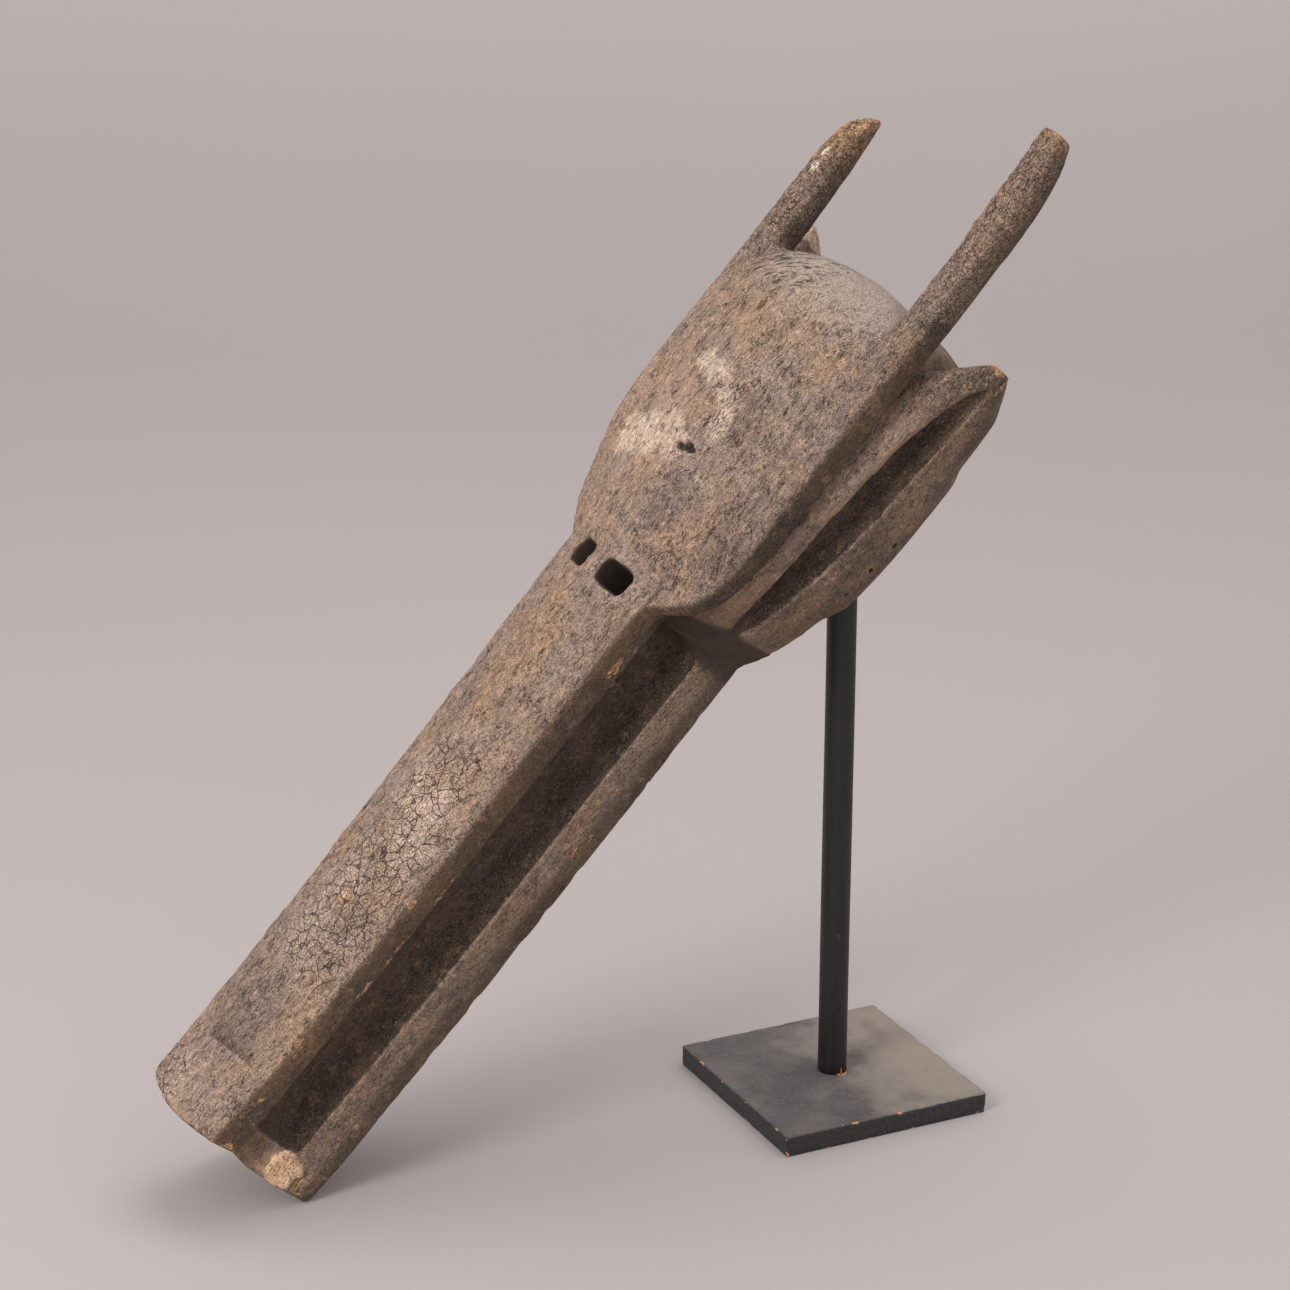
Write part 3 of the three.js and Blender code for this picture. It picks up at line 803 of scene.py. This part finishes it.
# Painted shade on the faces that turn down and along the bottom of the snout.
underside_shade = np.maximum(rise(-soft_normals[:, 2], 0.1, 0.5), fall(up, 10, 20))
MARKS = {
    "dusty": dusty,
    "rubbed": rubbed,
    "sunk": sunk,
    "bare": bare,
    "handled": np.maximum(far_tip, 0.6 * near_tip),
    "pale": pale,
    "white": np.maximum(first_speck, 0.8 * second_speck),
    "crackled": np.maximum(snout_plates, 0.8 * tip_plates),
    "creased": creased,
    "neck": neck,
    "deep": deep,
    "brow": brow * (1 - deep),
    "dome": dome,
    "horn": np.maximum(horns * rise(along, 800, 900), 0.5 * rise(along, 800, 850) * rise(out, 66, 84)),
    "under": underside_shade * fall(along, 560, 600),
    "stained": stained,
    # Lighter places of the wood, plus painted light, less painted shade.
    "lighter": lighter_and_lit_places - shaded * (1 - deep),
    "warmer": clouded(WARMER),
}
for name, values in MARKS.items():
    keep(mask, name, values)
print("stored:", ", ".join(MARKS))

# %% [markdown]
# The even skin has more faces than the shape needs: the walls of the hollow are as dense as the crust.
# Collapsing its shortest, flattest edges first keeps the crumbs and thins out the rest.
# Then the mask goes back into its lean, the CAD mask is hidden, and this one rides in its place.

# %% Thin the skin and lean the mask again
MOST_TRIANGLES = 192000


def triangles(piece):
    return sum(len(face.vertices) - 2 for face in piece.data.polygons)


worked(mask, "DECIMATE", ratio=min(1, MOST_TRIANGLES / triangles(mask)))
mask.data.transform(LEAN)
mask.data.shade_smooth()
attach(mask, "root")
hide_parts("mask")
print("mask has", triangles(mask), "triangles")

# %% [markdown]
# Up close the wood is never one colour, so its material starts with two sets of values. The marks are the
# shares that the carving stored. The lumps are noises of every size, down to grains of one millimetre,
# and those that are stretched along X run with the grain, as smudges, streaks and fibres do.

# %% Gather the marks and the lumps of the wood
def wood_marks(place):
    """The shares that the mesh carries, each under its own name."""
    names = {name: place.node("Attribute", {"attribute_name": name}, {}, "Fac") for name in MARKS}
    return SimpleNamespace(**names)


def wood_lumps(place):
    """Noises from clouds of 5 cm down to grit of about 1 mm, then two soft masks made from them."""
    grain = place.scaled((0.3, 1, 1))
    lump = SimpleNamespace(
        cloud=place.noise(0.05, detail=3),
        streak=grain.noise(0.022, detail=4),
        smudge=grain.noise(0.014, detail=5, roughness=0.65),
        clot=place.noise(0.011, detail=5, roughness=0.7),
        fleck=place.noise(0.0062, detail=4, roughness=0.65),
        crumb=place.noise(0.0034, detail=5, roughness=0.75),
        fibre=grain.noise(0.0019, detail=4, roughness=0.7),
        grit=place.noise(0.0012, detail=2, roughness=0.6),
    )
    lump.mottle = lump.cloud.step(0.4, 0.6)
    lump.rusty = lump.clot.step(0.52, 0.64) * place.noise(0.075, detail=2).step(0.4, 0.6)
    return lump


print("the wood has", len(MARKS), "marks to read")

# %% [markdown]
# Warm grey-brown is the ground of the crust, with soft grey and tan clouds, then rusty and pale flecks.
# The horns are darker, like bark, and the flanks are brown and streaky. The flanks, the brow, the slots
# and the grooves are also darker with painted shade.
# Each part has its colour mixed on its own.

# %% Colour the weathered wood and its painted shade
def crust_colour(mark, lump):
    crust = lump.cloud.step(0.36, 0.64).mix(paint(170, 140, 118), paint(158, 136, 123))
    crust = (lump.smudge.step(0.5, 0.64) * 0.5).mix(crust, paint(138, 122, 115))
    crust = (mark.warmer * 0.42).mix(crust, paint(184, 144, 106))
    crust = (mark.stained * 0.5).mix(crust, paint(110, 92, 87))
    crust = (lump.rusty * 0.5).mix(crust, paint(184, 144, 112))
    crust = (lump.fleck.step(0.58, 0.68) * 0.45).mix(crust, paint(208, 180, 155))
    bark = lump.mottle.mix(paint(148, 121, 102), paint(132, 112, 100))
    bark = (lump.rusty * 0.6).mix(bark, paint(182, 134, 98))
    return (mark.horn * 0.85).mix(crust, bark)


# The flanks' colour: browner than the crust, and darker with painted shade.
def shaded_side_colour(mark, lump):
    side = lump.mottle.mix(paint(118, 95, 77), paint(108, 90, 76))
    side = (lump.rusty * 0.45).mix(side, paint(134, 98, 72))
    side = (lump.smudge.step(0.52, 0.62) * 0.6).mix(side, paint(88, 78, 74))
    # Painted shade on the snout's underside and lowest faces.
    side = (mark.under * 0.6).mix(side, paint(84, 68, 56))
    return side.lit(lump.streak.step(0.36, 0.64) * 0.44 + 0.78)


# Painted shade under the ridges, where the flank turns down, and darker still on the head.
def brow_shade_colour(place, lump):
    brow = lump.mottle.mix(paint(106, 82, 62), paint(88, 71, 58))
    brow = (lump.rusty * 0.6).mix(brow, paint(150, 112, 78))
    on_head = place.part("X").step(0.57, 0.63)
    return brow.lit(1 - on_head * 0.3)


# Painted shade over dark wood in the slots, the grooves of the ears, the eye holes and the hollow.
def deep_shade_colour(lump):
    shady = lump.mottle.mix(paint(86, 69, 58), paint(74, 60, 51))
    return (lump.rusty * 0.5).mix(shady, paint(120, 90, 66))


def weathered_colour(place, mark, lump):
    # The tops take the crust's colour, and the rest takes the side colour with its painted shade.
    colour = mark.dusty.mix(shaded_side_colour(mark, lump), crust_colour(mark, lump))
    colour = (mark.dome * 0.85).mix(colour, paint(178, 162, 151))
    colour = (mark.brow * 0.85).mix(colour, brow_shade_colour(place, lump))
    return mark.deep.mix(colour, deep_shade_colour(lump))


print("the weathered wood is coloured in four parts")

# %% [markdown]
# Over that ground lie the cream paint, the ends of the horns, which hands have darkened, the raw wood of
# the chips and the pale plates of the crackled crust. All of it is then made lighter and darker by the
# small lumps, less on the smooth dome and the handled ends than elsewhere, and by the lighter places,
# the painted light and the painted shade that the mesh carries.

# %% Colour the paint, the bare wood and the plates
def marked_colour(colour, place, mark, lump, worn):
    patchy = (lump.crumb - 0.5) * 0.6 + (lump.clot - 0.5) * 2.0 + (lump.cloud - 0.5)
    creamy = (mark.pale * 1.15 + patchy).step(0.15, 1.2)
    at_tip = place.part("X").step(0.1, 0.06)
    cream = at_tip.mix(paint(213, 187, 166), paint(244, 202, 162))
    colour = (creamy * 0.85).mix(colour, cream)
    colour = (mark.handled * 0.8).mix(colour, paint(158, 121, 90))
    raw = lump.fibre.step(0.36, 0.62).mix(paint(158, 112, 76), paint(220, 172, 124))
    colour = (worn * 0.85).mix(colour, raw)
    colour = mark.white.mix(colour, paint(252, 234, 206))
    bright = mark.crackled * (lump.cloud.step(0.42, 0.6) * 0.5 + 0.15) * (lump.fleck + 0.4)
    return bright.mix(colour, paint(214, 186, 168))


def speckling(mark, lump, calm):
    """How much lighter or darker than its colour each point is, around 1."""
    shade = (lump.crumb - 0.5) * 1.4 + (lump.fibre - 0.5) * 2.1 + (lump.grit - 0.5) * 3.3
    shade = shade + (lump.clot - 0.5) * 0.8 + (lump.fleck - 0.5) * mark.horn * 1.5
    shade = shade + (lump.grit - 0.5) * (mark.horn + mark.crackled) * 1.4
    # The lighter share brings the lighter places, the painted light and the painted shade.
    return (mark.rubbed * 0.3 + mark.lighter * 0.24 + calm * shade + 1).at_least(0.3)


print("paint, bare wood and plates are ready")

# %% [markdown]
# Cracks are drawn in two ways. A Voronoi texture gives the distance to the edge of the nearest cell, which
# makes the crackled plates, and a thin band at one level of a stretched noise makes a winding split.
# The folds behind the forehead run in rings round the dome, so there the noise is stretched round it.

# %% Draw the cracks, the splits and the folds
DOME_ALONG = 0.7
DOME_SQUASH = 0.335
RING_DENSITY = 4.2


def crack_lines(place, mark, lump):
    plates = place.nudged(place.noise(0.008, detail=2, output="Color"), 0.006)
    wide = plates.cell_edges(0.0118).step(0.04, 0.008)
    wide = wide * place.noise(0.015, detail=2).step(0.3, 0.45)
    thin = plates.cell_edges(0.0056).step(0.06, 0.012)
    cracks = wide * (mark.crackled + (lump.clot - 0.5) * 1.4).step(0.35, 0.75)
    return cracks.at_least(thin * (mark.horn * 0.9 + mark.crackled * 0.5) * lump.clot.step(0.42, 0.58))


def split_lines(place, mark):
    long = place.scaled((0.45, 1, 1)).noise(0.017, detail=5, roughness=0.62)
    long = long.near(0.5, 0.013) * place.noise(0.013, detail=3).step(0.49, 0.6)
    short = place.scaled((0.42, 1, 1)).noise(0.0075, detail=4, roughness=0.6)
    short = short.near(0.46, 0.018) * place.noise(0.019, detail=3).step(0.5, 0.62)
    splits = long.at_least(short * 0.85) * (1 - mark.dome)
    return splits * (mark.dusty * 0.8 + 0.2) * (1 - mark.crackled * 0.7)


def fold_lines(place, mark, lump):
    along = place.part("X") - DOME_ALONG
    across = place.part("Y")
    ring = (along * along * DOME_SQUASH + across * across).root()
    rings = place.node("CombineXYZ", {}, {"X": ring * RING_DENSITY, "Y": across, "Z": place.part("Z")})
    folds = rings.scaled((1, 0.9, 0.9)).noise(0.0085, detail=4, roughness=0.6)
    folds = folds.step(0.46, 0.39) * (mark.creased + (lump.clot - 0.5)).step(0.25, 0.75)
    wrinkles = place.scaled((5, 0.55, 0.55)).noise(0.009, detail=3).step(0.45, 0.36) * mark.neck
    return folds, wrinkles


print("cracks, splits and folds are ready")

# %% [markdown]
# The material puts it all together. A Mapping node takes the lean out of the coordinates, so that fibres
# follow the grain. What is cracked or fallen out between the fibres is dark, the sunk places are darker,
# in part with painted shade, and the same lines and lumps go into the bump, so that light and colour agree.

# %% Mix the crusted wood
def crusted_wood():
    material, shader, place = new_material("crusted_wood")
    upright = LEAN.inverted()
    turns = {"Location": upright.to_translation(), "Rotation": upright.to_euler()}
    place = place.node("Mapping", {}, {"Vector": place, **turns})
    mark = wood_marks(place)
    lump = wood_lumps(place)
    calm = 1 - mark.dome.at_least(mark.handled) * 0.3
    worn = (mark.bare + (lump.crumb - 0.5) * 1.8 + (lump.fibre - 0.5) * 1.4).step(0.4, 0.75)
    colour = weathered_colour(place, mark, lump)
    colour = marked_colour(colour, place, mark, lump, worn).lit(speckling(mark, lump, calm))

    cracks = crack_lines(place, mark, lump)
    splits = split_lines(place, mark)
    folds, wrinkles = fold_lines(place, mark, lump)
    gaps = lump.crumb.step(0.41, 0.33).at_least(lump.fibre.step(0.39, 0.31) * 0.8)
    gaps = gaps * (mark.dusty * 0.75 + 0.2) * calm
    dark = paint(46, 35, 29)
    colour = (gaps * 0.62).mix(colour, dark)
    colour = (cracks.at_least(splits) * 0.9).mix(colour, dark)
    colour = (folds.at_least(wrinkles) * 0.8).mix(colour, dark)
    # Darker nooks and pits, and painted shade in the panel's corner, the forehead's pits and the eye holes.
    colour = (mark.sunk * 0.55).mix(colour, paint(66, 51, 42))
    colour = (lump.grit.step(0.64, 0.72) * mark.dusty * 0.5).mix(colour, paint(220, 188, 156))

    height = lump.crumb * (mark.dusty * 0.6 + 0.4) * calm + lump.fibre * 0.65 + lump.grit * 0.4
    height = height - cracks * 0.7 - splits - folds * 0.8 - wrinkles * 0.6
    feed(shader, Base_Color=colour, Roughness=0.92 - worn * 0.12, Normal=bump(height, 0.0026))
    return material


mask.data.materials.clear()
mask.data.materials.append(crusted_wood())
print("crusted wood has", len(mask.data.materials[0].node_tree.nodes), "nodes")

# %% [markdown]
# The post is a hardwood dowel, painted satin black. Its place and lean come from the CAD post's box.
# A cone with equal ends makes the rod, cuts along it allow a little unevenness, and the top edge is
# bevelled. Faint streaks and scuffs break up the paint.

# %% Turn the post
post_low, post_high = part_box("post")
DOWEL_RADIUS = (post_high.y - post_low.y) / 2
FOOT = Vector((post_high.x - DOWEL_RADIUS, 0, post_low.z))
TOP = Vector((post_low.x + DOWEL_RADIUS, 0, post_high.z))
DOWEL_SIDES = 48
DOWEL_CUTS = 30
DOWEL_BEVEL = 1.6 * MM
UNEVEN = 0.02


def dowel():
    shape = bmesh.new()
    length = (TOP - FOOT).length
    add_cone(shape, DOWEL_SIDES, DOWEL_RADIUS, DOWEL_RADIUS, length)
    long_edges = [edge for edge in shape.edges if abs(edge.verts[0].co.z - edge.verts[1].co.z) > length / 2]
    bmesh.ops.subdivide_edges(shape, edges=long_edges, cuts=DOWEL_CUTS)
    top_edges = [edge for edge in shape.edges if all(point.co.z > length / 2 - MM for point in edge.verts)]
    bmesh.ops.bevel(shape, geom=top_edges, affect="EDGES", offset=DOWEL_BEVEL, segments=3,
                    profile=0.5, material=-1)
    for point in shape.verts:
        wave = noise.noise(Vector((point.co.x * 30, point.co.y * 30, point.co.z * 9)))
        out = Vector((point.co.x, point.co.y, 0))
        point.co += out * (wave - 0.5) * UNEVEN
    upright = (TOP - FOOT).to_track_quat("Z", "Y").to_matrix().to_4x4()
    place = Matrix.Translation((FOOT + TOP) / 2) @ upright
    bmesh.ops.transform(shape, matrix=place, verts=shape.verts)
    return shown(shape, "dowel_post")


def black_dowel():
    material, shader, place = new_material("black_dowel")
    streak = place.scaled((1, 1, 0.05)).noise(0.0035, detail=4, roughness=0.6)
    scuff = place.scaled((1, 1, 0.25)).noise(0.011, detail=5, roughness=0.7).step(0.6, 0.72)
    worn = place.scaled((1, 1, 0.6)).noise(0.006, detail=3).step(0.67, 0.72)
    colour = streak.step(0.3, 0.7).mix(paint(15, 14, 15), paint(25, 24, 25))
    colour = (scuff * 0.45).mix(colour, paint(52, 48, 47))
    colour = (worn * 0.5).mix(colour, paint(90, 58, 44))
    height = streak + scuff * 0.3
    feed(shader, Base_Color=colour, Roughness=0.42 + streak * 0.16 + scuff * 0.2, Normal=bump(height, 0.0002))
    return material


post = dowel()
post.data.materials.append(black_dowel())
post.data.shade_smooth()
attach(post, "root")
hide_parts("post")
print("dowel of", round(2 * DOWEL_RADIUS / MM), "mm,", round((TOP - FOOT).length / MM), "mm long")

# %% [markdown]
# The foot is a square of plywood. A sheet of it is never quite sharp: the saw tears its edges, and
# knocks round its corners. It is made as the mask was, by an even skin that is then worn where it
# stands out. The glue lines of the plies are too thin for the skin, so they come with the material.

# %% Saw the foot
base_low, base_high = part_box("base_plate")
BASE_YAW = math.radians(6)
BASE_THICK = base_high.z - base_low.z
BASE_SIDE = (base_high.x - base_low.x) / (math.cos(BASE_YAW) + math.sin(BASE_YAW))
BASE_TURN = Matrix.Rotation(BASE_YAW, 4, "Z")
BASE_SKIN = 1.3 * MM
BASE_BEVEL = 0.8 * MM
BASE_KEPT = 0.3


def plywood():
    shape = bmesh.new()
    bmesh.ops.create_cube(shape, size=1)
    bmesh.ops.scale(shape, vec=(BASE_SIDE, BASE_SIDE, BASE_THICK), verts=shape.verts)
    bmesh.ops.translate(shape, vec=(0, 0, BASE_THICK / 2), verts=shape.verts)
    bmesh.ops.bevel(shape, geom=shape.edges[:], affect="EDGES", offset=BASE_BEVEL, segments=1,
                    profile=0.5, material=-1)
    piece = shown(shape, "plywood_base")
    worked(piece, "REMESH", mode="VOXEL", voxel_size=BASE_SKIN, use_smooth_shade=True)
    return piece


def wear_plywood(piece):
    points, normals, pairs = skin_arrays(piece)
    lift = edge_lift(points, normals, pairs, 5)
    edges = rise(lift, 0.12, 0.5)
    knocks = rise(ripple(points, (12, 12, 6), 21), 0.05, 0.6)
    depth = 0.15 * ripple(points, (40, 40, 20), 22)
    depth -= edges * (0.25 + 0.7 * knocks)
    torn = edges * rise(ripple(points, (7, 7, 4), 23), 0.3, 0.5)
    depth -= 0.5 * torn
    under = rise(-normals[:, 2], 0.3, 0.9) * fall(points[:, 2], 0.5, 1.5)
    moved = points + normals * (depth * (1 - under))[:, None]
    moved[:, 2] = np.maximum(moved[:, 2], 0)
    place_points(piece, moved)
    keep(piece, "torn", torn)
    keep(piece, "edges", edges)


base = plywood()
wear_plywood(base)
worked(base, "DECIMATE", ratio=BASE_KEPT)
base.data.transform(BASE_TURN)
base.data.shade_smooth()
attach(base, "root")
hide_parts("base_plate")
print("foot of", round(BASE_SIDE / MM), "x", round(BASE_THICK / MM, 1), "mm,", triangles(base), "triangles")

# %% [markdown]
# The foot was brushed with black, and dust has since settled on its top, more towards the back, where
# it is nearly beige. The sides show the plies as darker and lighter bands with glue lines between.
# Along the edges the black has torn off, and bright raw wood shows.

# %% Stain the foot
PLIES = 7


def black_plywood():
    material, shader, place = new_material("black_plywood")
    place = place.node("Mapping", {}, {"Vector": place, "Rotation": (0, 0, -BASE_YAW)})
    torn = place.node("Attribute", {"attribute_name": "torn"}, {}, "Fac")
    edges = place.node("Attribute", {"attribute_name": "edges"}, {}, "Fac")
    facing = place.node("NewGeometry", {}, {}, "Normal")
    up = facing.part("Z").step(0.4, 0.9)

    veneer = place.scaled((0.12, 1, 1)).noise(0.0022, detail=4, roughness=0.65)
    cloud = place.noise(0.05, detail=4, roughness=0.6)
    dust = place.noise(0.0032, detail=5, roughness=0.75)
    back = (place.part("X") * 7 + cloud * 1.6).step(0.55, 1.5)
    top = cloud.step(0.3, 0.7).mix(paint(80, 77, 77), paint(108, 103, 101))
    top = (back * 0.9).mix(top, paint(150, 138, 128))
    top = (dust.step(0.5, 0.66) * 0.35).mix(top, paint(140, 132, 126))
    top = (veneer.step(0.42, 0.3) * 0.35).mix(top, paint(52, 50, 50))

    plies = (place.part("Z") * (2 * math.pi * PLIES / BASE_THICK)).sine().step(0.86, 1.0)
    side = dust.step(0.4, 0.7).mix(paint(34, 33, 33), paint(62, 59, 58))
    side = (plies * 0.7).mix(side, paint(14, 13, 13))
    colour = up.mix(side, top)
    colour = (edges * dust.step(0.45, 0.6) * 0.5).mix(colour, paint(40, 38, 38))
    raw = (torn + (dust - 0.5) * 1.4).step(0.55, 0.75)
    colour = raw.mix(colour, paint(206, 144, 92))
    height = veneer * 0.4 + dust * 0.6 - plies * 0.8 * (1 - up)
    feed(shader, Base_Color=colour, Roughness=0.5 + up * 0.3, Normal=bump(height, 0.0005))
    return material


base.data.materials.append(black_plywood())
print("foot stained")

# %% [markdown]
# Where the dowel was driven in, the black split and left a few bright splinters standing at its foot.
# Each is a thin three-sided spike, laid against the dowel or flat on the foot.

# %% Raise the splinters at the dowel's foot
SPLINTER_ROOT = 0.9
SPLINTER_POINT = 0.15
SPLINTERS = [
    # azimuth round the dowel, distance from its face, length, lean from upright, all but the angles in mm
    (-74, 0.2, 6.5, 6),
    (-60, 2.2, 9, 84),
    (-52, 1.2, 6, 80),
    (-20, 0.8, 5, 78),
    (-82, 0.6, 4, 60),
    (8, 1.6, 5, 82),
]


def splinters():
    shape = bmesh.new()
    for azimuth, away, length, lean in SPLINTERS:
        out = Matrix.Rotation(math.radians(azimuth), 4, "Z")
        stand = Matrix.Translation(Vector((DOWEL_RADIUS + away * MM, 0, BASE_THICK - 0.3 * MM)))
        topple = Matrix.Rotation(math.radians(lean), 4, "X")
        grow = Matrix.Translation(Vector((0, 0, length / 2 * MM)))
        place = out @ stand @ topple @ grow
        add_cone(shape, 3, SPLINTER_ROOT * MM, SPLINTER_POINT * MM, length * MM, place)
    return shown(shape, "splinters")


def raw_wood():
    material, shader, place = new_material("raw_wood")
    streak = place.noise(0.0012, detail=3)
    feed(shader, Base_Color=streak.mix(paint(196, 120, 66), paint(236, 176, 118)), Roughness=0.7)
    return material


slivers = splinters()
slivers.data.materials.append(raw_wood())
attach(slivers, "root")
print(len(SPLINTERS), "splinters")
